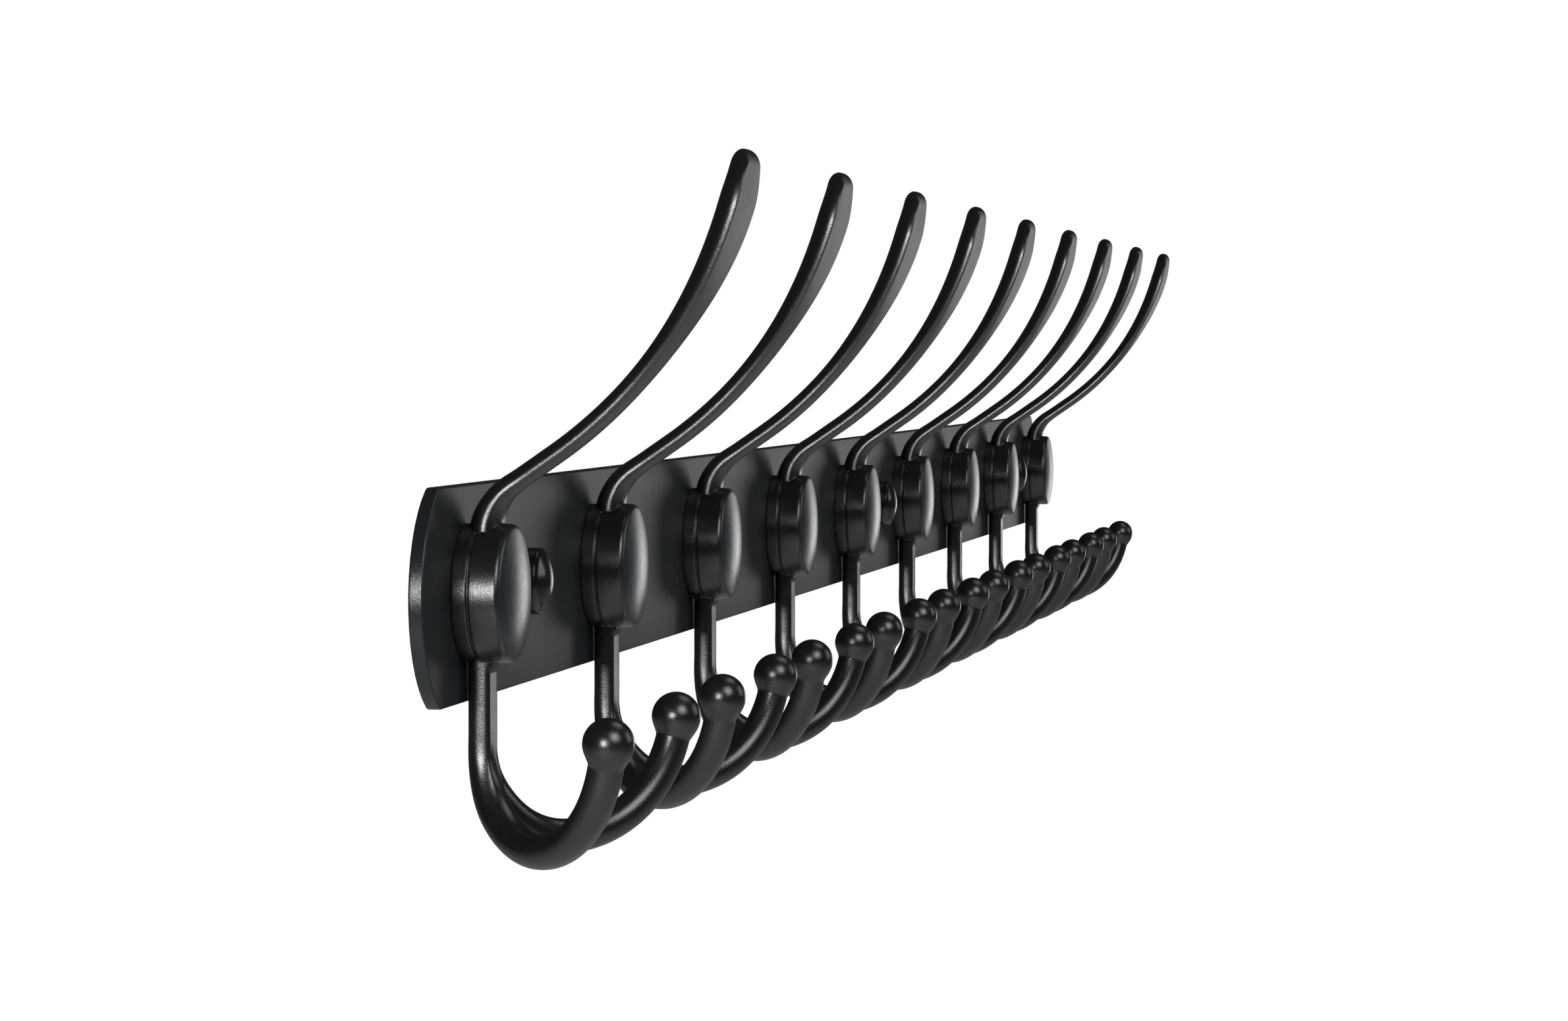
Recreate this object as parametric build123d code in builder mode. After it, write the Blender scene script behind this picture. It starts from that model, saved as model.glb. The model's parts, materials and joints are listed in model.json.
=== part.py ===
from build123d import *
import os
from math import cos, radians, sin, sqrt

# Wall coat rack: a flat steel rail with nine cast hooks, each with one tall prong above and
# two ball-ended arms below. Millimetres. The rail's back face lies in the plane Y = 0, the
# hooks face -Y, +X runs along the rail and +Z is up. The origin is the rail's centre.

# Rail
rail_height = 44.5
rail_thickness = 3.0
rail_overhang = 35.0
rail_end_bow = 13.7
rail_corner_fillet = 3.0
rail_edge_fillet = 0.4

# Hook row
hook_count = 9
hook_pitch = 114.0

# Disc of a hook: a thin rear layer and a thick front layer with a groove between them
disc_diameter = 28.5
disc_thickness = 10.1
disc_dome_height = 1.6
disc_rim_fillet = 1.0
groove_offset = 3.2
groove_width = 0.45
groove_depth = 0.45

# Upper prong: a bend off the disc, a straight lean and a long sweep back upright
prong_root_height = 8.0
prong_rise = 3.9
prong_bend_radius = 12.7
prong_lean = 55.5
prong_straight = 10.9
prong_sweep_radius = 94.2
prong_tip_lean = 11.7
prong_tip_rounding = 3.2
prong_clearance = 0.4

# Widths and thicknesses of the prong at its root, waist, paddle and tip, how far its front
# bulges and how far its full sides spread past its edges
prong_root_width = 13.6
prong_root_thickness = 7.2
prong_waist_width = 9.6
prong_waist_thickness = 4.2
prong_paddle_width = 19.2
prong_paddle_thickness = 5.4
prong_tip_width = 13.0
prong_tip_thickness = 4.7
prong_root_bulge = 2.2
prong_waist_bulge = 0.8
prong_side_spread = 1.6

# Lower shank: a round bar with a flat face towards the room, and the fork at its end
shank_width = 7.3
shank_depth = 5.0
shank_clearance = 0.3
shank_length = 30.6
shank_overlap = 3.0
fork_length = 11.0
fork_width = 3.0

# The two arms and their balls
arm_diameter = 7.2
arm_full_place = 0.28
arm_root_inset = 0.15
arm_drop_radius = 20.5
arm_rise_radius = 26.4
arm_rise = 84.0
arm_splay = 43.4
ball_diameter = 10.4
ball_neck_fillet = 1.0

# Screw that holds each hook, put in from behind
hook_screw_diameter = 4.8
hook_screw_head_diameter = 9.0
hook_screw_reach = 9.0
hook_screw_sink = 0.1
screw_clearance = 0.1
countersink_angle = 90.0
recess_length = 4.6
recess_width = 1.0
recess_depth = 1.4

# Wall fixings, each a base ring and a domed cap over a hole in the rail
fixing_offset = 46.0
fixing_hole_diameter = 5.0
cap_diameter = 14.4
cap_skirt_height = 4.2
cap_dome_height = 1.7
cap_bevel = 0.7
cap_wall = 1.0
base_height = 2.8
base_hole_diameter = 5.6
base_clearance = 0.15
base_edge_fillet = 0.4
base_countersink_diameter = 9.0

# Places worked out from the sizes
hook_span = hook_pitch * (hook_count - 1)
rail_length = hook_span + 2 * rail_overhang
hook_x = [i * hook_pitch - hook_span / 2 for i in range(hook_count)]
fixing_x = [
    hook_x[0] + fixing_offset,
    hook_x[hook_count // 2 + 1] - fixing_offset,
    hook_x[-1] - fixing_offset,
]
disc_radius = disc_diameter / 2

dome_radius = (disc_radius**2 + disc_dome_height**2) / (2 * disc_dome_height)

# The prong's form where it is named: share of its path, width, thickness and front bulge
prong_forms = [
    (0.00, prong_root_width, prong_root_thickness, prong_root_bulge),
    (0.20, prong_waist_width, prong_waist_thickness, prong_waist_bulge),
    (0.45, prong_waist_width, prong_waist_thickness, prong_waist_bulge),
    (0.92, prong_paddle_width, prong_paddle_thickness, 0),
    (1.00, prong_tip_width, prong_tip_thickness, 0),
]
prong_places = [0, 0.05, 0.1, 0.15, 0.2, 0.26, 0.33, 0.42, 0.53, 0.65, 0.78, 0.9, 0.96, 1]


def out(distance):
    """Y of a point at this distance in front of the rail."""
    return -rail_thickness - distance


def back_plane(x):
    """Plane on the rail's back face, facing the wall."""
    return Plane(origin=(x, 0, 0), x_dir=(-1, 0, 0), z_dir=(0, 1, 0))


def front_plane(x):
    """Plane on the rail's front face, facing the room."""
    return Plane(origin=(x, out(0), 0), x_dir=(1, 0, 0), z_dir=(0, -1, 0))


def make_rail():
    """Flat bar with bowed ends, hook screw holes sunk from behind and the wall holes."""
    half = rail_length / 2
    side = rail_height / 2
    with BuildPart() as rail:
        with BuildSketch(Plane.XZ):
            with BuildLine():
                top = Line((rail_end_bow - half, side), (half - rail_end_bow, side))
                ThreePointArc(top @ 1, (half, 0), (half - rail_end_bow, -side))
                bottom = Line((half - rail_end_bow, -side), (rail_end_bow - half, -side))
                ThreePointArc(bottom @ 1, (-half, 0), top @ 0)
            make_face()
        extrude(amount=rail_thickness)
        fillet(rail.edges().filter_by(Axis.Y), rail_corner_fillet)
        fillet(rail.faces().sort_by(Axis.Y)[0].edges(), rail_edge_fillet)
        fillet(rail.faces().sort_by(Axis.Y)[-1].edges(), rail_edge_fillet)
        with Locations(*[back_plane(x) for x in hook_x]):
            CounterSinkHole(
                hook_screw_diameter / 2 + screw_clearance,
                hook_screw_head_diameter / 2 + screw_clearance,
                depth=2 * rail_thickness,
                counter_sink_angle=countersink_angle,
            )
        with Locations(*[back_plane(x) for x in fixing_x]):
            Hole(fixing_hole_diameter / 2, depth=2 * rail_thickness)
    return rail.part


def make_casting():
    """One hook at X = 0: disc, upper prong, shank, two arms and their balls, cast in one."""
    with BuildPart() as casting:
        add_disc()
        add_shank()
        for side in (-1, 1):
            add_arm(side)
        add_prong()
        screw_tip = rail_thickness - hook_screw_sink - hook_screw_reach
        with Locations(front_plane(0)):
            Cylinder(
                hook_screw_diameter / 2 + screw_clearance,
                -screw_tip + screw_clearance,
                align=(Align.CENTER, Align.CENTER, Align.MIN),
                mode=Mode.SUBTRACT,
            )
    return casting.part


def add_disc():
    """Round boss turned about the screw's axis, with its groove and its slightly domed face."""
    with BuildSketch(Plane.XY) as profile:
        with BuildLine():
            Polyline(
                (0, out(disc_thickness + disc_dome_height)),
                (0, out(0)),
                (disc_radius, out(0)),
                (disc_radius, out(groove_offset)),
                (disc_radius - groove_depth, out(groove_offset)),
                (disc_radius - groove_depth, out(groove_offset + groove_width)),
                (disc_radius, out(groove_offset + groove_width)),
                (disc_radius, out(disc_thickness)),
            )
            RadiusArc(
                (disc_radius, out(disc_thickness)),
                (0, out(disc_thickness + disc_dome_height)),
                dome_radius,
            )
        make_face()
        fillet(profile.vertices().group_by(Axis.X)[-1].sort_by(Axis.Y)[0], disc_rim_fillet)
    revolve(profile.sketch, axis=Axis.Y)


def bar_section(plane, width):
    """Shank section on a plane: a round bar of this width with a flat face to the room."""
    depth = width * shank_depth / shank_width
    front = width / 2 - depth
    edge = sqrt((width - depth) * depth)
    with BuildSketch(plane) as section:
        with BuildLine():
            Line((-edge, front), (edge, front))
            ThreePointArc((edge, front), (0, width / 2), (-edge, front))
        make_face()
    return section.sketch.face()


def add_shank():
    """Straight shank with a flat front, then its taper into the web between the arms."""
    arm_out = arm_drop_radius - sqrt(arm_drop_radius**2 - fork_length**2)
    web_out = shank_clearance + shank_depth / 2 + arm_out * cos(radians(arm_splay))
    end = Plane(origin=(0, out(shank_clearance + shank_width / 2), -shank_length))
    bar = bar_section(end, shank_width)
    web = bar_section(Plane(origin=(0, out(web_out), -shank_length - fork_length)), fork_width)
    extrude(bar, amount=shank_length - disc_radius / 2)
    loft([bar, web])


def add_arm(side):
    """One arm: down off the shank, round a small bend, up round a larger one to its ball."""
    splay = radians(arm_splay)
    center = out(shank_clearance + shank_depth / 2)
    reach = Vector(side * sin(splay), -cos(splay), 0)
    plane = Plane(origin=(0, center, 0), x_dir=reach, z_dir=reach.cross(Vector(0, 0, 1)))
    with BuildLine(plane) as path:
        drop = Line((0, shank_overlap - shank_length), (0, -shank_length))
        bend = JernArc(drop @ 1, (0, -1), arm_drop_radius, 90)
        JernArc(bend @ 1, (1, 0), arm_rise_radius, arm_rise)
    wire = path.wires()[0]
    tip = wire @ 1
    root_plane = Plane(origin=wire @ 0, x_dir=(1, 0, 0), z_dir=wire % 0)
    with BuildSketch(root_plane) as root:
        Ellipse(shank_width / 2 - arm_root_inset, shank_depth / 2 - arm_root_inset)
    sections = [root.sketch]
    for place in (arm_full_place, 1):
        across = Plane(origin=wire @ place, x_dir=-plane.z_dir, z_dir=wire % place)
        with BuildSketch(across) as section:
            Circle(arm_diameter / 2)
        sections.append(section.sketch)
    sweep(sections, path=wire, multisection=True)
    with Locations(tip):
        Sphere(ball_diameter / 2)
    neck = edges(Select.LAST).filter_by(GeomType.BSPLINE).sort_by_distance(tip)[:2]
    fillet(neck, ball_neck_fillet)


def prong_form(place):
    """Width, thickness and front bulge at a place on the prong, eased between named forms."""
    before = [form for form in prong_forms if form[0] <= place][-1]
    after = [form for form in prong_forms if form[0] >= place][0]
    if before == after:
        return before[1:]
    along = (place - before[0]) / (after[0] - before[0])
    ease = along * along * (3 - 2 * along)
    return [a + (b - a) * ease for a, b in zip(before[1:], after[1:])]


def prong_section(plane, width, thickness, bulge):
    """Prong section: a rounded back with full sides, and a front that is flat or bulges out."""
    edge = width / 2
    middle = bulge - thickness / 2
    side = edge + prong_side_spread
    back = middle + (thickness - bulge) * 4 / 3
    front = middle - bulge * 4 / 3
    with BuildSketch(plane) as section:
        with BuildLine():
            Bezier((edge, middle), (side, back), (-side, back), (-edge, middle))
            Bezier((-edge, middle), (-edge / 2, front), (edge / 2, front), (edge, middle))
        make_face()
    return section.sketch.face()


def add_prong():
    """Upper prong: a loft of flattened sections along its curve, ending in a rounded paddle."""
    root_out = prong_clearance + prong_root_thickness / 2
    with BuildLine(Plane.YZ) as path:
        rise = Line((out(root_out), prong_root_height), (out(root_out), prong_root_height + prong_rise))
        bend = JernArc(rise @ 1, (0, 1), prong_bend_radius, prong_lean)
        lean = PolarLine(bend @ 1, prong_straight, direction=bend % 1)
        JernArc(lean @ 1, lean % 1, prong_sweep_radius, prong_tip_lean - prong_lean)
    wire = path.wires()[0]
    sections = []
    for place in prong_places:
        plane = Plane(origin=wire @ place, x_dir=(1, 0, 0), z_dir=wire % place)
        sections.append(prong_section(plane, *prong_form(place)))
    sections.append(Vertex(*(wire @ 1 + (wire % 1) * prong_tip_rounding)))
    loft(sections)


def make_hook_screw():
    """Countersunk screw at X = 0, pointing to the room, with a cross recess in its head."""
    head = hook_screw_head_diameter / 2
    shank = hook_screw_diameter / 2
    start = -hook_screw_sink
    with BuildPart() as screw:
        with BuildSketch(Plane.XY) as profile:
            with BuildLine():
                Polyline(
                    (0, start),
                    (head, start),
                    (shank, start - (head - shank)),
                    (shank, start - hook_screw_reach),
                    (0, start - hook_screw_reach),
                    close=True,
                )
            make_face()
        revolve(profile.sketch, axis=Axis.Y)
        with BuildSketch(back_plane(0).offset(start)) as recess:
            Rectangle(recess_length, recess_width)
            Rectangle(recess_width, recess_length)
        extrude(recess.sketch, amount=-recess_depth, mode=Mode.SUBTRACT)
    return screw.part


def make_cap_base():
    """Ring at X = 0 that the wall screw clamps to the rail and the cap snaps over."""
    radius = cap_diameter / 2 - cap_wall - base_clearance
    with BuildPart() as base:
        with Locations(front_plane(0)):
            Cylinder(radius, base_height, align=(Align.CENTER, Align.CENTER, Align.MIN))
        fillet(base.edges().sort_by(Axis.Y)[0], base_edge_fillet)
        with Locations(front_plane(0).offset(base_height)):
            CounterSinkHole(
                base_hole_diameter / 2,
                base_countersink_diameter / 2,
                depth=2 * base_height,
                counter_sink_angle=countersink_angle,
            )
    return base.part


def make_cap():
    """Domed cover at X = 0: straight skirt, small bevel and shallow dome, hollow behind."""
    radius = cap_diameter / 2
    inner = radius - cap_wall
    dome = radius - cap_bevel
    peak = cap_skirt_height + cap_bevel + cap_dome_height
    dome_arc = (dome**2 + cap_dome_height**2) / (2 * cap_dome_height)
    with BuildPart() as cap:
        with BuildSketch(Plane.XY) as profile:
            with BuildLine():
                Polyline(
                    (0, out(peak)),
                    (0, out(cap_skirt_height)),
                    (inner, out(cap_skirt_height)),
                    (inner, out(0)),
                    (radius, out(0)),
                    (radius, out(cap_skirt_height)),
                    (dome, out(cap_skirt_height + cap_bevel)),
                )
                RadiusArc((dome, out(cap_skirt_height + cap_bevel)), (0, out(peak)), dome_arc)
            make_face()
        revolve(profile.sketch, axis=Axis.Y)
    return cap.part


def place_and_export(shape, name, x):
    """Write one copy of a piece that was made at X = 0, moved along the rail."""
    with BuildPart() as placed:
        with Locations((x, 0, 0)):
            add(shape)
    placed.part.label = name
    export_step(placed.part, f"parts/{name}.step")


os.makedirs("parts", exist_ok=True)
place_and_export(make_rail(), "back_rail", 0)
casting = make_casting()
hook_screw = make_hook_screw()
for number, x in enumerate(hook_x, start=1):
    place_and_export(casting, f"hook_{number}", x)
    place_and_export(hook_screw, f"hook_screw_{number}", x)
cap_base = make_cap_base()
cap = make_cap()
for number, x in enumerate(fixing_x, start=1):
    place_and_export(cap_base, f"cap_base_{number}", x)
    place_and_export(cap, f"screw_cap_{number}", x)
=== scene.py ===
"""The look of a wall coat rack: its drawn pieces, its finishes, the light and the camera.

The rail's back face lies in the plane Y = 0, the hooks face -Y, X runs along the rail and
Z is up. The castings and the caps are drawn again in millimetres, from the sizes of their
solids, and stand for them. The other solids keep their meshes. The room and the finishes are
in metres.
"""

import json
import logging
from dataclasses import dataclass, field
from enum import Enum
from math import cos, pi, sin

import bpy
import numpy as np
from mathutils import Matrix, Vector


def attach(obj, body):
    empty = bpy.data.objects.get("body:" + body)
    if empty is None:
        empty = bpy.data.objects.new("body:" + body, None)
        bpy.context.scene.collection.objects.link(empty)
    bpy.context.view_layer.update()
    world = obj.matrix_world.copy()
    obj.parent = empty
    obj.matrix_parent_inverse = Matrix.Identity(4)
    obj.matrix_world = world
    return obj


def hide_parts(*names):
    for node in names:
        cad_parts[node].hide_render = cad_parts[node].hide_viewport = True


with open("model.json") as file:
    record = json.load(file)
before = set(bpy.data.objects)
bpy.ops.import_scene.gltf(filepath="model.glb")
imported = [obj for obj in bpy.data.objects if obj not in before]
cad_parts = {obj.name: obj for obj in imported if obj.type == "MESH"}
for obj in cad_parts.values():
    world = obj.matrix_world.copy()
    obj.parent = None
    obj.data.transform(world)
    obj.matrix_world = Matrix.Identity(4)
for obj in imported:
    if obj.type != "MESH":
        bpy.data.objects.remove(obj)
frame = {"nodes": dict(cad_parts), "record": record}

log = logging.getLogger("coat_rack")

# Metres in a millimetre.
MM = 0.001
# The rail's front face, and the hooks along it, in millimetres.
RAIL_FACE = -3.0
HOOK_COUNT = 9
HOOK_PITCH = 114.0
# A dome's rings stop at this share of its radius, and a pole closes it.
POLE_SHARE = 0.004
# Keeps the distance to a section's flat clear of a division by zero.
TINY = 0.001
# Pixels across the photograph, the unit of the camera's focal length.
PHOTO_WIDTH = 2380


class Operation(Enum):
    """The Math node's operations that the finishes use."""

    ADD = "ADD"
    SUBTRACT = "SUBTRACT"
    MULTIPLY = "MULTIPLY"
    POWER = "POWER"
    MAXIMUM = "MAXIMUM"
    FLOORED_MODULO = "FLOORED_MODULO"
    ABSOLUTE = "ABSOLUTE"
    ARCTAN2 = "ARCTAN2"


class Value:
    """A node socket that can stand in arithmetic, where each operator adds a Math node."""

    def __init__(self, graph: "Graph", socket: bpy.types.NodeSocket) -> None:
        """Keeps the socket and the graph that it is in."""
        self.graph = graph
        self.socket = socket

    def __add__(self, other: "Value | float") -> "Value":
        """Sum of two values."""
        return self.graph.math(Operation.ADD, self, other)

    __radd__ = __add__

    def __sub__(self, other: "Value | float") -> "Value":
        """Difference of two values."""
        return self.graph.math(Operation.SUBTRACT, self, other)

    def __rsub__(self, other: float) -> "Value":
        """A number less this value."""
        return self.graph.math(Operation.SUBTRACT, other, self)

    def __mul__(self, other: "Value | float") -> "Value":
        """Product of two values."""
        return self.graph.math(Operation.MULTIPLY, self, other)

    __rmul__ = __mul__

    def __pow__(self, other: "Value | float") -> "Value":
        """This value raised to a power."""
        return self.graph.math(Operation.POWER, self, other)

    def __mod__(self, other: "Value | float") -> "Value":
        """What is left after dividing by a positive value, never negative."""
        return self.graph.math(Operation.FLOORED_MODULO, self, other)

    def __abs__(self) -> "Value":
        """Distance from zero."""
        return self.graph.math(Operation.ABSOLUTE, self)


class Graph:
    """The nodes of one material or of the world."""

    def __init__(self, owner: bpy.types.Material | bpy.types.World) -> None:
        """Empties the owner's node tree.

        Args:
            owner: the material or the world that the nodes belong to.
        """
        owner.use_nodes = True
        self.tree = owner.node_tree
        self.tree.nodes.clear()

    def add(self, kind: str, settings: dict | None = None, **inputs: object) -> bpy.types.Node:
        """Adds one node.

        Args:
            kind: the node's type, without the leading ShaderNode.
            settings: the node's own properties, set before its sockets.
            inputs: what goes into its sockets, by the socket's name with _ for a space.

        Returns:
            The new node.
        """
        node = self.tree.nodes.new("ShaderNode" + kind)
        for name, value in (settings or {}).items():
            setattr(node, name, value)
        for name, value in inputs.items():
            self.put(self.find(node, name), value)
        return node

    def find(self, node: bpy.types.Node, name: str) -> bpy.types.NodeSocket:
        """The enabled input socket with that name, where _ stands for a space."""
        wanted = name.replace("_", " ")
        return next(s for s in node.inputs if s.enabled and s.name == wanted)

    def put(self, socket: bpy.types.NodeSocket, value: object) -> None:
        """Links a value to a socket, or writes a number or a colour on it."""
        if isinstance(value, Value):
            self.tree.links.new(value.socket, socket)
        elif isinstance(value, bpy.types.NodeSocket):
            self.tree.links.new(value, socket)
        else:
            socket.default_value = value

    def math(self, operation: Operation, *terms: Value | float) -> Value:
        """Adds one Math node.

        Args:
            operation: what the node does.
            terms: its one or two inputs.

        Returns:
            The node's result.
        """
        node = self.tree.nodes.new("ShaderNodeMath")
        node.operation = operation.value
        for socket, term in zip(node.inputs, terms):
            self.put(socket, term)
        return Value(self, node.outputs[0])

    def step(self, value: Value, low: float, high: float) -> Value:
        """A smooth step: 0 at low, 1 at high, and the other way round where high is below low."""
        node = self.add(
            "MapRange",
            {"interpolation_type": "SMOOTHSTEP"},
            Value=value, From_Min=min(low, high), From_Max=max(low, high),
            To_Min=0.0 if low < high else 1.0, To_Max=1.0 if low < high else 0.0,
        )
        return Value(self, node.outputs["Result"])

    def place(self) -> tuple[Value, Value, Value]:
        """The three Object coordinates of the point that is shaded."""
        coordinates = self.add("TexCoord")
        parts = self.add("SeparateXYZ", Vector=coordinates.outputs["Object"])
        return tuple(Value(self, s) for s in parts.outputs)

    def facing_room(self, away: float = -0.80, straight: float = -0.97) -> Value:
        """1 where the surface looks along -Y, and 0 where it turns well away.

        Args:
            away: the normal's Y part from which the result starts to grow.
            straight: the normal's Y part at which it is 1.

        Returns:
            The share from 0 to 1.
        """
        parts = self.add("SeparateXYZ", Vector=self.add("NewGeometry").outputs["True Normal"])
        return self.step(Value(self, parts.outputs["Y"]), away, straight)

    def vector(self, x: Value | float, y: Value | float, z: Value | float) -> Value:
        """A vector from its three parts."""
        return Value(self, self.add("CombineXYZ", X=x, Y=y, Z=z).outputs[0])

    def noise(self, where: Value, scale: float, detail: float = 2.0, rough: float = 0.5) -> Value:
        """Cloudy noise from 0 to 1, with scale features a metre."""
        node = self.add("TexNoise", Vector=where, Scale=scale, Detail=detail, Roughness=rough)
        return Value(self, node.outputs[0])

    def mix(self, share: Value | float, first: object, second: object) -> Value:
        """Blends two colours: the first at share 0, the second at share 1."""
        node = self.add("Mix", {"data_type": "RGBA"}, Factor=share, A=first, B=second)
        return Value(self, next(s for s in node.outputs if s.enabled))

    def bump(self, height: Value, depth: Value | float, strength: float = 1.0,
             normal: Value | None = None) -> Value:
        """Turns a height from 0 to 1 into a normal, for relief of that depth in metres."""
        more = {} if normal is None else {"Normal": normal}
        node = self.add("Bump", Height=height, Distance=depth, Strength=strength, **more)
        return Value(self, node.outputs[0])

    def bevel(self, radius: float, samples: int = 6) -> Value:
        """A normal that rounds the edges over by this radius."""
        return Value(self, self.add("Bevel", {"samples": samples}, Radius=radius).outputs[0])

    def surface(self, **inputs: object) -> bpy.types.Node:
        """Adds the surface shader and joins it to the output."""
        shader = self.add("BsdfPrincipled", **inputs)
        self.add("OutputMaterial", Surface=shader.outputs[0])
        return shader


def grey(level: float, blue: float = 0.0) -> tuple[float, float, float, float]:
    """An opaque grey, with a little more blue where that is asked for."""
    return (level, level * (1 + blue / 3), level * (1 + blue), 1.0)


@dataclass(frozen=True)
class HookPaint:
    """Satin black coat on a die casting: fine grain all over, and a brushed boss face with a
    painted sheen, a lighter bluish colour.
    """

    name: str = "hook_paint"
    colour: tuple = grey(0.0045)
    # Painted sheen: a lighter, bluish base colour on the boss face that stands in for the light it
    # reflects.
    face_sheen_colour: tuple = grey(0.010, 0.35)
    gloss: float = 0.5
    pitch: float = HOOK_PITCH * MM
    first: float = -HOOK_PITCH * (HOOK_COUNT - 1) / 2 * MM
    face_front: float = -11.6 * MM
    face_radius: float = 14.2 * MM
    front_fade: float = 0.3 * MM
    radius_fade: float = 1.0 * MM
    prong_start: float = 15.0 * MM
    prong_full: float = 30.0 * MM
    speck_scale: float = 3000.0
    speck_depth: float = 0.035 * MM
    lump_scale: float = 900.0
    lump_depth: float = 0.009 * MM
    cloud_scale: float = 120.0
    swirl_rings: float = 600.0
    swirl_turns: float = 1.1
    edge_radius: float = 0.4 * MM
    room_smoothing: float = 0.92
    base_rough: float = 0.16
    cloud_rough: float = 0.08
    speck_rough: float = 0.12
    swirl_rough: float = 0.16
    face_polish: float = 0.09
    prong_rough: float = 0.18

    def make(self) -> bpy.types.Material:
        """Builds the finish.

        Returns:
            The material.
        """
        material = bpy.data.materials.new(self.name)
        graph = Graph(material)
        x, y, z = graph.place()
        across = (x - self.first + self.pitch / 2) % self.pitch - self.pitch / 2
        where = graph.vector(x, y, z)
        radius = (across * across + z * z) ** 0.5
        on_face = (graph.step(y, self.face_front + self.front_fade, self.face_front)
                   * graph.step(radius, self.face_radius, self.face_radius - self.radius_fade))
        specks = graph.noise(where, self.speck_scale, rough=0.7)
        lumps = graph.noise(where, self.lump_scale, rough=0.6)
        cloud = graph.noise(where, self.cloud_scale)
        turn = graph.math(Operation.ARCTAN2, z, across)
        brushed = graph.vector(radius * self.swirl_rings, turn * self.swirl_turns, 0.0)
        swirl = graph.noise(brushed, 1.0)
        facing = graph.facing_room()
        on_prong = facing * graph.step(z, self.prong_start, self.prong_full)
        rough = self.base_rough + self.cloud_rough * cloud + self.speck_rough * specks
        rough = rough + on_face * (self.swirl_rough * swirl - self.face_polish)
        rough = rough + self.prong_rough * on_prong
        cover = 1.0 - self.room_smoothing * facing
        grain = graph.bump(specks, self.speck_depth * cover, 1.0, graph.bevel(self.edge_radius))
        graph.surface(
            # The boss face takes the lighter bluish colour, a painted sheen; its brushed swirl and
            # polish are real, in the roughness.
            Base_Color=graph.mix(on_face, self.colour, self.face_sheen_colour),
            Roughness=rough,
            Normal=graph.bump(lumps, self.lump_depth * cover, 1.0, grain),
            Specular_IOR_Level=self.gloss,
        )
        return material


@dataclass(frozen=True)
class RailPaint:
    """Matt black coat on flat bar, with an upright grain on its faces and sparkle on its rim."""

    name: str = "rail_paint"
    colour: tuple = grey(0.007, 0.25)
    gloss: float = 0.3
    front: float = RAIL_FACE * MM
    edge_radius: float = 0.35 * MM
    speck_scale: float = 2800.0
    grain_scale: float = 2600.0
    grain_run: float = 45.0
    base_rough: float = 0.40
    grain_rough: float = 0.12
    rim_polish: float = 0.22
    face_specks: float = 0.2
    rim_specks: float = 2.0
    face_grain: float = 0.5
    depth: float = 0.03 * MM
    strength: float = 0.5

    def make(self) -> bpy.types.Material:
        """Builds the finish.

        Returns:
            The material.
        """
        material = bpy.data.materials.new(self.name)
        graph = Graph(material)
        x, y, z = graph.place()
        rim = (graph.step(y, self.front, self.front + self.edge_radius)
               * graph.step(y, 0.0, -self.edge_radius))
        specks = graph.noise(graph.vector(x, y, z), self.speck_scale, rough=0.7)
        along = graph.vector(x * self.grain_scale, y * self.grain_scale, z * self.grain_run)
        grain = graph.noise(along, 1.0)
        height = (specks * (self.face_specks + self.rim_specks * rim)
                  + self.face_grain * grain * (1.0 - rim))
        graph.surface(
            Base_Color=self.colour,
            Roughness=self.base_rough + self.grain_rough * grain - self.rim_polish * rim,
            Normal=graph.bump(height, self.depth, self.strength, graph.bevel(self.edge_radius)),
            Specular_IOR_Level=self.gloss,
        )
        return material


@dataclass(frozen=True)
class PlainFinish:
    """A finish of one colour with a little cloudy change in its gloss."""

    name: str
    colour: tuple
    rough: float
    metal: float = 0.0
    gloss: float = 0.5
    relief: float = 0.01 * MM
    cloud_scale: float = 400.0
    cloud_rough: float = 0.06
    relief_scale: float = 1500.0
    relief_strength: float = 0.3

    def make(self) -> bpy.types.Material:
        """Builds the finish.

        Returns:
            The material.
        """
        material = bpy.data.materials.new(self.name)
        graph = Graph(material)
        where = graph.vector(*graph.place())
        cloud = graph.noise(where, self.cloud_scale, detail=3.0)
        relief = graph.noise(where, self.relief_scale)
        graph.surface(
            Base_Color=self.colour,
            Roughness=self.rough + self.cloud_rough * cloud,
            Metallic=self.metal,
            Normal=graph.bump(relief, self.relief, self.relief_strength),
            Specular_IOR_Level=self.gloss,
        )
        return material


@dataclass(frozen=True)
class Lamp:
    """One square soft lamp that looks at a point."""

    name: str
    place: tuple
    aim: tuple
    size: float
    power: float

    def make(self) -> bpy.types.Object:
        """Adds the lamp to the scene.

        Returns:
            The lamp's object.
        """
        data = bpy.data.lights.new(self.name, "AREA")
        data.shape = "SQUARE"
        data.size = self.size
        data.energy = self.power
        lamp = bpy.data.objects.new(self.name, data)
        lamp.location = self.place
        direction = Vector(self.aim) - Vector(self.place)
        lamp.rotation_euler = direction.to_track_quat("-Z", "Y").to_euler()
        bpy.context.scene.collection.objects.link(lamp)
        return lamp


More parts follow.
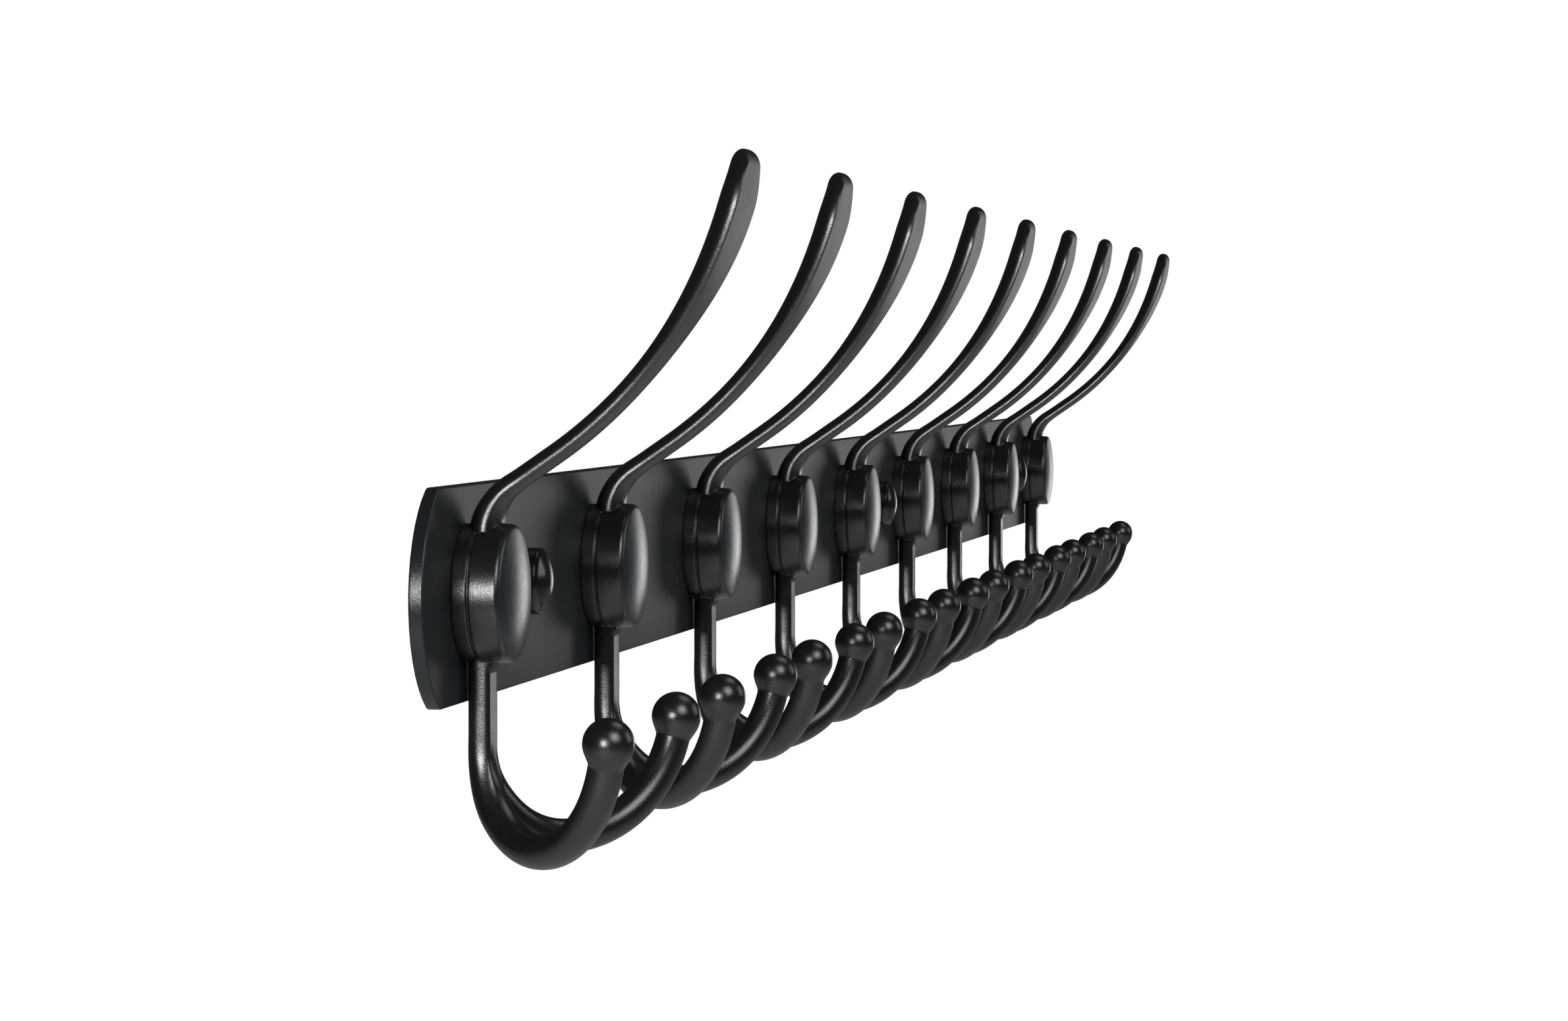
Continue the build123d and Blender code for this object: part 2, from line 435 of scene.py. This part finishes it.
@dataclass(frozen=True)
class Studio:
    """The white room: floor, world, lamps and camera."""

    floor_level: float = -1.3
    floor_radius: float = 9.0
    floor_rings: int = 24
    floor_spokes: int = 96
    paper: float = 0.88
    fade_start: float = 1.5
    fade_end: float = 6.0
    ambient: float = 0.16
    far_light: float = 0.03
    band_light: float = 2.6
    backdrop: tuple = (0.975, -0.22)
    band_front: tuple = (0.2, 0.5)
    band_side: tuple = (0.20, 0.03)
    band_top: tuple = (0.13, -0.06)
    band_foot: tuple = (-0.26, -0.08)
    lamps: tuple = (
        Lamp("key_lamp", (-3.9, 0.42, 0.45), (-0.1, -0.03, 0.0), 0.9, 130.0),
        Lamp("room_lamp", (-2.0, -1.6, 1.5), (-0.2, -0.03, 0.0), 1.4, 52.0),
        Lamp("side_lamp", (1.2, -2.6, 0.9), (0.0, -0.03, 0.0), 1.4, 10.0),
        Lamp("top_lamp", (0.6, -0.9, 2.2), (0.0, -0.03, 0.0), 1.2, 8.0),
    )
    eye: tuple = (-1.28615, -0.22201, 0.04919)
    turn: float = 0.1825
    dip: float = 0.0377
    focal_pixels: float = 6357.4
    sensor: float = 36.0

    def floor_mesh(self) -> bpy.types.Mesh:
        """A flat round sheet: rings of points at even steps of radius and angle round a hub.

        Returns:
            The floor's mesh.
        """
        rings, spokes = self.floor_rings, self.floor_spokes
        radius = np.linspace(0.0, self.floor_radius, rings + 1)[1:, None]
        angle = np.linspace(0.0, 2 * pi, spokes, endpoint=False)[None, :]
        x = (radius * np.cos(angle)).ravel()
        y = (radius * np.sin(angle)).ravel()
        points = np.column_stack([x, y, np.full_like(x, self.floor_level)])
        points = np.vstack([points, [[0.0, 0.0, self.floor_level]]])
        ring, spoke = np.meshgrid(np.arange(rings - 1), np.arange(spokes), indexing="ij")
        after = (spoke + 1) % spokes
        quads = np.stack([ring * spokes + spoke, (ring + 1) * spokes + spoke,
                          (ring + 1) * spokes + after, ring * spokes + after], -1).reshape(-1, 4)
        first = np.arange(spokes)
        fan = np.column_stack([np.full(spokes, len(x)), first, (first + 1) % spokes])
        mesh = bpy.data.meshes.new("floor")
        mesh.from_pydata(points.tolist(), [], quads.tolist() + fan.tolist())
        return mesh

    def floor_paper(self) -> bpy.types.Material:
        """White paper that the camera alone sees fade to an even white far away.

        Returns:
            The floor's material.
        """
        material = bpy.data.materials.new("floor_paper")
        graph = Graph(material)
        x, y, _ = graph.place()
        away = (x * x + y * y) ** 0.5
        seen = Value(graph, graph.add("LightPath").outputs["Is Camera Ray"])
        sheet = graph.add("BsdfDiffuse", Color=grey(self.paper))
        white = graph.add("Emission", Color=grey(1.0), Strength=1.0)
        blend = graph.add("MixShader", Fac=graph.step(away, self.fade_start, self.fade_end) * seen)
        graph.tree.links.new(sheet.outputs[0], blend.inputs[1])
        graph.tree.links.new(white.outputs[0], blend.inputs[2])
        graph.add("OutputMaterial", Surface=blend.outputs[0])
        return material

    def make_floor(self) -> bpy.types.Object:
        """Adds the floor to the stage.

        Returns:
            The floor's object.
        """
        mesh = self.floor_mesh()
        mesh.materials.append(self.floor_paper())
        floor = bpy.data.objects.new("floor", mesh)
        bpy.context.scene.collection.objects.link(floor)
        return floor

    def make_world(self) -> None:
        """White to the camera and grey as light, with one white band in the reflections.

        The band lies along the backdrop's direction, a little below eye level, and fades to
        each side of it, above it and below it.
        """
        world = bpy.data.worlds.new("studio")
        bpy.context.scene.world = world
        graph = Graph(world)
        path = graph.add("LightPath")
        camera, glossy, through = [Value(graph, path.outputs[n]) for n in
                                   ("Is Camera Ray", "Is Glossy Ray", "Is Transmission Ray")]
        shown = graph.math(Operation.MAXIMUM, camera, through)
        ray = graph.add("SeparateXYZ", Vector=graph.add("TexCoord").outputs["Generated"])
        x, y, z = [Value(graph, s) for s in ray.outputs]
        ahead, aside = self.backdrop
        toward = x * ahead + y * aside
        beside = abs(y * ahead - x * aside)
        band = (graph.step(toward, *self.band_front) * graph.step(beside, *self.band_side)
                * graph.step(z, *self.band_top) * graph.step(z, *self.band_foot))
        mirrored = self.far_light + (self.band_light - self.far_light) * band
        strength = self.ambient + (1.0 - self.ambient) * shown + glossy * (mirrored - self.ambient)
        background = graph.add("Background", Color=grey(1.0), Strength=strength)
        graph.add("OutputWorld", Surface=background.outputs[0])

    def make_camera(self) -> bpy.types.Object:
        """The photograph's view: the eye looks along +X, a little to the wall and down.

        Returns:
            The camera's object.
        """
        data = bpy.data.cameras.new("camera")
        data.sensor_fit = "HORIZONTAL"
        data.sensor_width = self.sensor
        data.lens = self.focal_pixels / PHOTO_WIDTH * self.sensor
        data.clip_start = 0.01
        camera = bpy.data.objects.new("camera", data)
        camera.location = self.eye
        ahead = Vector((cos(self.turn) * cos(self.dip), sin(self.turn) * cos(self.dip),
                        -sin(self.dip)))
        camera.rotation_euler = ahead.to_track_quat("-Z", "Y").to_euler()
        bpy.context.scene.collection.objects.link(camera)
        bpy.context.scene.camera = camera
        return camera

    def make(self) -> None:
        """Builds the whole room."""
        self.make_floor()
        self.make_world()
        self.make_camera()
        for lamp in self.lamps:
            lamp.make()
        bpy.context.scene.view_settings.view_transform = "Standard"


def blend_step(value: np.ndarray, low: float, high: float) -> np.ndarray:
    """A smooth step of numbers: 0 up to low, 1 from high, 3t^2 - 2t^3 between them."""
    share = np.clip((value - low) / (high - low), 0.0, 1.0)
    return share * share * (3.0 - 2.0 * share)


def soft_max(first: np.ndarray, second: np.ndarray, width: float) -> np.ndarray:
    """The greater of two values, with the corner between them rounded over that width."""
    gap = np.abs(first - second)
    return np.maximum(first, second) + np.maximum(width - gap, 0.0) ** 2 / (4.0 * width)


@dataclass
class Shell:
    """One closed surface: rings of points, with a pole at each end."""

    points: np.ndarray
    creases: tuple = ()

    def faces(self) -> tuple[np.ndarray, np.ndarray, np.ndarray]:
        """Joins each point to its neighbours.

        Returns:
            The points with the two poles last, the quads, and the triangles at the poles. Each
            pole is the mean of its ring, and faces are turned round where the shell's volume,
            the sum of the wedges that its triangles make with the origin, is negative.
        """
        rings, count = self.points.shape[:2]
        flat = self.points.reshape(-1, 3)
        poles = self.points[[0, -1]].mean(axis=1)
        points = np.vstack([flat, poles])
        ring, column = np.meshgrid(np.arange(rings - 1), np.arange(count), indexing="ij")
        after = (column + 1) % count
        quads = np.stack([ring * count + column, ring * count + after,
                          (ring + 1) * count + after, (ring + 1) * count + column], -1)
        quads = quads.reshape(-1, 4)
        first = np.arange(count)
        second = (first + 1) % count
        last = (rings - 1) * count
        start = np.column_stack([second, first, np.full(count, len(flat))])
        end = np.column_stack([first + last, second + last, np.full(count, len(flat) + 1)])
        tips = np.vstack([start, end])
        corners = points[np.vstack([quads[:, :3], quads[:, [0, 2, 3]], tips])]
        volume = np.einsum("ij,ij->i", corners[:, 0], np.cross(corners[:, 1], corners[:, 2])).sum()
        if volume < 0:
            quads, tips = quads[:, ::-1], tips[:, ::-1]
        return points, quads, tips

    def crease_pairs(self) -> np.ndarray:
        """Pairs of neighbouring points along the columns whose edges stay sharp."""
        rings, count = self.points.shape[:2]
        ring = np.arange(rings - 1)
        pairs = [np.column_stack([ring * count + c, (ring + 1) * count + c]) for c in self.creases]
        return np.vstack(pairs) if pairs else np.zeros((0, 2), int)


def mesh_of(name: str, points: np.ndarray, quads: np.ndarray, tips: np.ndarray) -> bpy.types.Mesh:
    """Makes a smooth mesh.

    Args:
        name: the mesh's name.
        points: its points, in metres.
        quads: four point numbers for each quad.
        tips: three point numbers for each triangle.

    Returns:
        The mesh.
    """
    mesh = bpy.data.meshes.new(name)
    mesh.vertices.add(len(points))
    mesh.vertices.foreach_set("co", points.ravel())
    corners = np.concatenate([quads.ravel(), tips.ravel()]).astype(np.int32)
    sizes = np.concatenate([np.full(len(quads), 4), np.full(len(tips), 3)])
    mesh.loops.add(len(corners))
    mesh.loops.foreach_set("vertex_index", corners)
    mesh.polygons.add(len(sizes))
    mesh.polygons.foreach_set("loop_start", np.concatenate([[0], np.cumsum(sizes)[:-1]]))
    mesh.update(calc_edges=True)
    mesh.polygons.foreach_set("use_smooth", np.ones(len(sizes), bool))
    return mesh


def mark_sharp(mesh: bpy.types.Mesh, pairs: np.ndarray) -> None:
    """Keeps some edges of a smooth mesh sharp.

    Args:
        mesh: the mesh.
        pairs: the two point numbers of each sharp edge.
    """
    edges = np.zeros(len(mesh.edges) * 2, np.int32)
    mesh.edges.foreach_get("vertices", edges)
    edges = np.sort(edges.reshape(-1, 2), axis=1).astype(np.int64)
    span = len(mesh.vertices) + 1
    sharp = np.isin(edges @ [span, 1], np.sort(pairs, axis=1) @ [span, 1])
    mesh.attributes.new("sharp_edge", "BOOLEAN", "EDGE").data.foreach_set("value", sharp)


def join_shells(name: str, shells: list[Shell], shift: tuple) -> bpy.types.Object:
    """Makes one object of several shells, with its place in its mesh.

    Args:
        name: the object's name.
        shells: the closed surfaces, in millimetres.
        shift: how far they all move, in millimetres.

    Returns:
        The new object, smooth apart from the shells' sharp columns.
    """
    points, quads, tips, pairs, start = [], [], [], [], 0
    for shell in shells:
        more, sides, ends = shell.faces()
        points.append(more)
        quads.append(sides + start)
        tips.append(ends + start)
        pairs.append(shell.crease_pairs() + start)
        start += len(more)
    where = (np.vstack(points) + np.array(shift)) * MM
    mesh = mesh_of(name, where, np.vstack(quads), np.vstack(tips))
    mark_sharp(mesh, np.vstack(pairs))
    piece = bpy.data.objects.new(name, mesh)
    bpy.context.scene.collection.objects.link(piece)
    return piece


def add_piece(name: str, shells: list[Shell], x: float, node: str) -> bpy.types.Object:
    """Makes one piece on the rail's face and lets it stand for a solid.

    Args:
        name: the piece's name.
        shells: its closed surfaces, drawn about X = 0 from the rail's face.
        x: its place along the rail, in millimetres.
        node: the solid that it stands for.

    Returns:
        The piece.
    """
    piece = join_shells(name, shells, (x, RAIL_FACE, 0.0))
    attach(piece, "root")
    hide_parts(node)
    log.info("%s: %d faces", name, len(piece.data.polygons))
    return piece


def turned(profile: np.ndarray, spokes: int) -> Shell:
    """Turns a profile about the Y axis.

    Args:
        profile: radius and distance from the rail's face at each point.
        spokes: how many copies of the profile there are round the axis.

    Returns:
        The surface with points (radius cos a, -distance, radius sin a).
    """
    angle = np.linspace(0.0, 2 * pi, spokes, endpoint=False)
    radius, out = profile.T
    return Shell(np.stack([radius[:, None] * np.cos(angle), -out[:, None] + 0 * angle,
                           radius[:, None] * np.sin(angle)], -1))


def rounded(points: np.ndarray, reach: float, steps: int = 6) -> np.ndarray:
    """Rounds the corners of a line of points.

    Args:
        points: the line's corners, one a row.
        reach: how far each rounding starts before its corner and ends after it.
        steps: points on each rounding.

    Returns:
        The line, with each corner p replaced by the curve (1-t)^2 a + 2t(1-t) p + t^2 b.
    """
    before, corner, after = points[:-2], points[1:-1], points[2:]
    start = corner + reach * (before - corner) / np.linalg.norm(before - corner, axis=1)[:, None]
    end = corner + reach * (after - corner) / np.linalg.norm(after - corner, axis=1)[:, None]
    t = np.linspace(0.0, 1.0, steps)[None, :, None]
    curve = ((1 - t) ** 2 * start[:, None] + 2 * t * (1 - t) * corner[:, None]
             + t * t * end[:, None])
    return np.vstack([points[:1], curve.reshape(-1, 2), points[-1:]])


@dataclass(frozen=True)
class Cap:
    """The domed cover over a wall screw, hollow behind."""

    radius: float = 7.2
    skirt: float = 4.2
    bevel: float = 0.7
    dome: float = 1.7
    wall: float = 1.0
    softness: float = 0.12
    middle: float = 0.02
    dome_rings: int = 20
    spokes: int = 96

    def shell(self) -> Shell:
        """The wall's profile from the middle of its inside, over the skirt, to the dome's middle.

        The dome's height falls with the square of the radius.
        """
        inner, edge = self.radius - self.wall, self.radius - self.bevel
        line = np.array([(self.middle, self.skirt), (inner, self.skirt), (inner, 0.0),
                         (self.radius, 0.0), (self.radius, self.skirt),
                         (edge, self.skirt + self.bevel)])
        share = np.linspace(1.0, POLE_SHARE, self.dome_rings)[1:]
        dome = np.column_stack([edge * share,
                                self.skirt + self.bevel + self.dome * (1.0 - share**2)])
        line = rounded(np.vstack([line, dome[:1]]), self.softness)
        return turned(np.vstack([line, dome[1:]]), self.spokes)


@dataclass(frozen=True)
class Boss:
    """The round boss of a hook, two layers with a groove between them and a domed face."""

    radius: float = 14.25
    thickness: float = 10.1
    dome: float = 1.6
    rim: float = 1.3
    groove_start: float = 3.2
    groove_width: float = 0.45
    groove_depth: float = 0.5
    softness: float = 0.25
    side_start: float = 0.6
    side_gap: float = 0.1
    floor_gap: float = 0.03
    corner_points: int = 6
    side_points: int = 4
    front_points: int = 6
    rim_points: int = 12
    dome_rings: int = 22
    spokes: int = 120

    def profile(self) -> np.ndarray:
        """Radius and distance from the rail along the boss, from its back to its dome's middle.

        The groove and the back edge have small quarter circles at their corners. The rim is a
        larger arc that ends at the dome's slope, and from there the dome's height falls with
        the square of the radius.
        """
        quarter = np.linspace(0.0, pi / 2, self.corner_points)
        soft, low = self.softness, self.radius - self.groove_depth
        shoulder = self.radius - soft
        before, after = self.groove_start - soft, self.groove_start + self.groove_width
        back = (shoulder + soft * np.sin(quarter), soft - soft * np.cos(quarter))
        side = (np.full(self.side_points, self.radius),
                np.linspace(self.side_start, before - self.side_gap, self.side_points))
        into = (shoulder + soft * np.cos(quarter), before + soft * np.sin(quarter))
        floor = (np.full(self.side_points, low),
                 np.linspace(self.groove_start + self.floor_gap, after - self.floor_gap,
                             self.side_points))
        outward = (shoulder + soft * np.sin(quarter), after + soft - soft * np.cos(quarter))
        front = (np.full(self.front_points, self.radius),
                 np.linspace(after + soft + self.side_gap,
                             self.thickness - self.rim - self.side_gap, self.front_points))
        slope = 2 * self.dome / self.radius
        turn = np.linspace(0.0, pi / 2 - slope, self.rim_points)
        rim = (self.radius - self.rim + self.rim * np.cos(turn),
               self.thickness - self.rim + self.rim * np.sin(turn))
        edge_radius, edge_out = rim[0][-1], rim[1][-1]
        share = np.linspace(1.0, POLE_SHARE, self.dome_rings)[1:]
        rise = edge_radius * np.tan(slope) / 2
        face = (edge_radius * share, edge_out + rise * (1.0 - share**2))
        parts = (back, side, into, floor, outward, front, rim, face)
        return np.column_stack([np.concatenate(p) for p in zip(*parts)])

    def shell(self) -> Shell:
        """The profile turned about the screw's axis."""
        return turned(self.profile(), self.spokes)


@dataclass(frozen=True)
class Prong:
    """The tall upper prong: a leaning bar whose flat front widens to a rounded paddle."""

    out: float = 4.0
    base: float = 8.0
    rise: float = 3.9
    bend: float = 12.7
    lean: float = 55.5
    straight: float = 10.9
    sweep: float = 94.2
    tip_lean: float = 11.7
    rounding: float = 3.2
    spread: float = 1.6
    shares: tuple = (0.0, 0.20, 0.45, 0.92, 1.0)
    widths: tuple = (13.6, 9.6, 9.6, 19.2, 19.2)
    depths: tuple = (7.2, 4.2, 4.2, 5.4, 4.7)
    bulges: tuple = (2.2, 0.8, 0.8, 0.0, 0.0)
    tip_start: float = 0.91
    tip_fullness: float = 2.1
    tip_thinning: float = 0.85
    stations: int = 110
    tip_stations: int = 14
    half_columns: int = 22

    def path(self, along: np.ndarray) -> tuple[np.ndarray, np.ndarray, np.ndarray]:
        """Follows the prong's middle line: a rise, a bend, a straight lean and a long sweep.

        Args:
            along: lengths from the root.

        Returns:
            The distance from the rail, the height and the lean's angle at each length. Each arc
            adds radius * (cos, sin) differences, and each straight adds length * direction.
        """
        lean, end = np.radians(self.lean), np.radians(self.tip_lean)
        first = np.clip(along, 0.0, self.rise)
        turned = np.clip((along - self.rise) / self.bend, 0.0, lean)
        run = np.clip(along - self.rise - self.bend * lean, 0.0, self.straight)
        rest = along - self.rise - self.bend * lean - self.straight
        back = np.clip(rest / self.sweep, 0.0, lean - end)
        angle = turned - back
        out = (self.out + self.bend * (1.0 - np.cos(turned)) + run * np.sin(lean)
               + self.sweep * (np.cos(lean - back) - np.cos(lean)))
        height = (self.base + first + self.bend * np.sin(turned) + run * np.cos(lean)
                  + self.sweep * (np.sin(lean) - np.sin(lean - back)))
        past = np.maximum(rest - self.sweep * (lean - end), 0.0)
        return out + past * np.sin(angle), height + past * np.cos(angle), angle

    def length(self) -> float:
        """Length of the middle line."""
        lean, end = np.radians(self.lean), np.radians(self.tip_lean)
        return self.rise + self.bend * lean + self.straight + self.sweep * (lean - end)

    def form(self, share: np.ndarray, values: tuple) -> np.ndarray:
        """Eases a size between the shares of the length where it is named."""
        result = np.full_like(share, values[0])
        for low, high, start, end in zip(self.shares, self.shares[1:], values, values[1:]):
            result = result + (end - start) * blend_step(share, low, high)
        return result

    def shell(self) -> Shell:
        """Sections across the path: a full rounded back and a flat or bulging front.

        Each half of a section is a cubic curve between its two edges. The curve goes 3/4 of the
        way to its inner control points, so these lie 4/3 of the wanted depth away. Towards the
        tip the half width w falls as w (1 - u^p)^(1/p), and past the path's end the depth d
        falls as d cos(a)^q while the length grows as sin(a).
        """
        length = self.length()
        body = np.linspace(0.0, 1.0, self.stations)
        cap = np.linspace(0.0, pi / 2, self.tip_stations)[1:-1]
        share = np.concatenate([body, np.ones_like(cap)])
        along = np.concatenate([body * length, length + self.rounding * np.sin(cap)])
        shrink = np.concatenate([np.ones_like(body), np.cos(cap) ** self.tip_thinning])
        out, height, angle = self.path(along)
        tip = np.clip((along - self.tip_start * length)
                      / (length * (1 - self.tip_start) + self.rounding), 0.0, 1.0)
        oval = (1.0 - tip**self.tip_fullness) ** (1 / self.tip_fullness)
        edge = self.form(share, self.widths) / 2 * oval
        depth = self.form(share, self.depths) * shrink
        bulge = self.form(share, self.bulges) * shrink
        middle = bulge - depth / 2
        side = edge + self.spread * oval
        rear = middle + (depth - bulge) * 4 / 3
        front = middle - bulge * 4 / 3
        t = (1.0 - np.cos(np.linspace(0.0, pi, self.half_columns + 1)))[:-1] / 2
        w0, w1, w2, w3 = (1 - t) ** 3, 3 * t * (1 - t) ** 2, 3 * t * t * (1 - t), t**3
        edge, side, middle, rear, front = [v[:, None] for v in (edge, side, middle, rear, front)]
        across = np.hstack([w0 * edge + w1 * side - w2 * side - w3 * edge,
                            -w0 * edge - w1 * edge / 2 + w2 * edge / 2 + w3 * edge])
        through = np.hstack([(w0 + w3) * middle + (w1 + w2) * rear,
                             (w0 + w3) * middle + (w1 + w2) * front])
        away = np.cos(angle)[:, None] * through
        points = np.stack([across, -out[:, None] + away,
                           height[:, None] + np.sin(angle)[:, None] * through], -1)
        return Shell(points, creases=(0, self.half_columns))


@dataclass(frozen=True)
class Arm:
    """One side of the shank that runs on, with no step, into a round arm below it."""

    side: int
    out: float = 2.8
    top: float = -10.0
    drop: float = -30.6
    drop_bend: float = 20.5
    rise_bend: float = 26.4
    rise: float = 84.0
    splay: float = 43.4
    radius: float = 3.6
    ball: float = 5.2
    bar_half_width: float = 3.75
    bar_back: float = 2.5
    bar_front: float = 5.2
    bar_flat: float = 2.5
    edge_softness: float = 0.25
    collar: float = 0.7
    collar_start: float = -15.6
    collar_end: float = -15.0
    fullness: float = 2.3
    change_start: float = -3.0
    change_end: float = 17.0
    root_inset: float = 0.0
    inset_fade: float = 3.0
    neck_start: float = 5.1
    neck_softness: float = 1.4
    pole_gap: float = 0.05
    drop_stations: int = 26
    stations: int = 120
    ball_stations: int = 30
    columns: int = 48

    def bar(self, angle: np.ndarray, height: np.ndarray) -> np.ndarray:
        """Radius of the shank's section: a full oval, cut flat towards the room.

        Args:
            angle: direction in the section, where a quarter turn faces the wall.
            height: height of each station, because a thicker collar stands under the boss.

        Returns:
            The distance from the shank's middle line to its surface: the lesser of the oval
            |x/a|^p + |y/b|^p = 1 and the flat, with a soft edge between them.
        """
        x, y = np.cos(angle), np.sin(angle)
        reach = np.where(y > 0, self.bar_back, self.bar_front)
        oval = (np.abs(x / self.bar_half_width) ** self.fullness
                + np.abs(y / reach) ** self.fullness) ** (-1 / self.fullness)
        flat = self.bar_flat + self.collar * blend_step(height, self.collar_start, self.collar_end)
        cut = flat / np.maximum(-y, TINY)
        return -soft_max(-oval, -cut, self.edge_softness)

    def shell(self) -> Shell:
        """Sections across the path, from the shank to a round bar that flares to its ball.

        The path drops, turns a quarter circle out and then rises round a larger circle. The
        sections blend from the shank's to a circle, and the bar meets its ball, of radius
        sqrt(b^2 - distance^2), in a soft neck.
        """
        rise, splay = np.radians(self.rise), np.radians(self.splay)
        quarter = self.drop_bend * pi / 2
        end = quarter + self.rise_bend * rise
        polar = np.linspace(np.arccos(self.neck_start / self.ball), pi - self.pole_gap,
                            self.ball_stations)
        along = np.concatenate([np.linspace(self.drop - self.top, 0.0, self.drop_stations)[:-1],
                                np.linspace(0.0, end - self.neck_start, self.stations)[:-1],
                                end - self.ball * np.cos(polar)])
        first = np.clip(along / self.drop_bend, 0.0, pi / 2)
        second = np.clip((along - quarter) / self.rise_bend, 0.0, rise)
        past = np.maximum(along - end, 0.0)
        turn = first + second
        away = (self.drop_bend * (1.0 - np.cos(first)) + self.rise_bend * np.sin(second)
                + past * np.cos(rise))
        height = (self.drop - np.minimum(along, 0.0) - self.drop_bend * np.sin(first)
                  + self.rise_bend * (1.0 - np.cos(second)) + past * np.sin(rise))
        angle = np.linspace(0.0, 2 * pi, self.columns, endpoint=False)[None, :]
        world = angle + self.side * splay
        share = blend_step(along, self.change_start, self.change_end)[:, None]
        left = end - along
        sphere = np.sqrt(np.maximum(self.ball**2 - left**2, 0.0))
        neck = soft_max(np.full_like(sphere, self.radius), sphere, self.neck_softness)
        neck = np.where(left > 0, neck, sphere)
        radius = (1 - share) * self.bar(world, height[:, None]) + share * neck[:, None]
        inset = self.root_inset * (1 - blend_step(along, -self.inset_fade, self.inset_fade))
        radius = radius - inset[:, None]
        across, inner = radius * np.cos(angle), -radius * np.sin(angle)
        bend = turn[:, None]
        reach = away[:, None] + inner * np.cos(bend)
        up = height[:, None] + inner * np.sin(bend)
        x = self.side * np.sin(splay) * reach + np.cos(splay) * across
        y = -np.cos(splay) * reach + self.side * np.sin(splay) * across - self.out
        return Shell(np.stack([x, y, up], -1))


@dataclass(frozen=True)
class Row:
    """The castings and the caps along the rail, each drawn again with soft joins.

    The second arm starts lower and a little inside the first, so that the shank that they share
    isn't drawn twice on one surface.
    """

    count: int = HOOK_COUNT
    pitch: float = HOOK_PITCH
    cap_places: tuple = (-410.0, 68.0, 410.0)
    arms: tuple = (Arm(-1), Arm(1, top=-26.0, root_inset=0.4))

    def make(self) -> dict[str, list[bpy.types.Object]]:
        """Builds the pieces and lets each stand for its solid.

        Returns:
            The pieces by their material slot.
        """
        shells = [Boss().shell(), Prong().shell()] + [arm.shell() for arm in self.arms]
        middle = (self.count + 1) / 2
        castings = [add_piece(f"hook_casting_{n}", shells, (n - middle) * self.pitch,
                              f"hook_{n}") for n in range(1, self.count + 1)]
        caps = [add_piece(f"cap_shell_{n}", [Cap().shell()], x, f"screw_cap_{n}")
                for n, x in enumerate(self.cap_places, 1)]
        return {"hook_paint": castings, "cap_gloss": caps}


@dataclass
class Rack:
    """The rack's solids and the finish that each of them wears."""

    finishes: dict = field(default_factory=lambda: {
        "rail_paint": RailPaint(),
        "hook_paint": HookPaint(),
        "screw_steel": PlainFinish("screw_steel", grey(0.42), 0.32, metal=1.0),
        "base_plastic": PlainFinish("base_plastic", grey(0.02), 0.5),
        "cap_gloss": PlainFinish("cap_gloss", grey(0.005), 0.14, relief=0.0),
    })

    def dress(self, drawn: dict[str, list[bpy.types.Object]]) -> None:
        """Gives every solid the finish that its record names, and the drawn pieces theirs.

        Args:
            drawn: the pieces that stand for solids, by their material slot.
        """
        made = {slot: finish.make() for slot, finish in self.finishes.items()}
        for slot, pieces in drawn.items():
            for piece in pieces:
                piece.data.materials.append(made[slot])
        for part in frame["record"]["subparts"]:
            solid = frame["nodes"][part["node"]]
            solid.data.materials.clear()
            solid.data.materials.append(made[part["material_slot"]])
            log.info("%s wears %s", part["node"], part["material_slot"])


def main() -> None:
    """Dresses the rack and sets up the room."""
    logging.basicConfig(level=logging.INFO, format="%(message)s")
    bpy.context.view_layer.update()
    Rack().dress(Row().make())
    Studio().make()


if __name__ == "__main__":
    main()
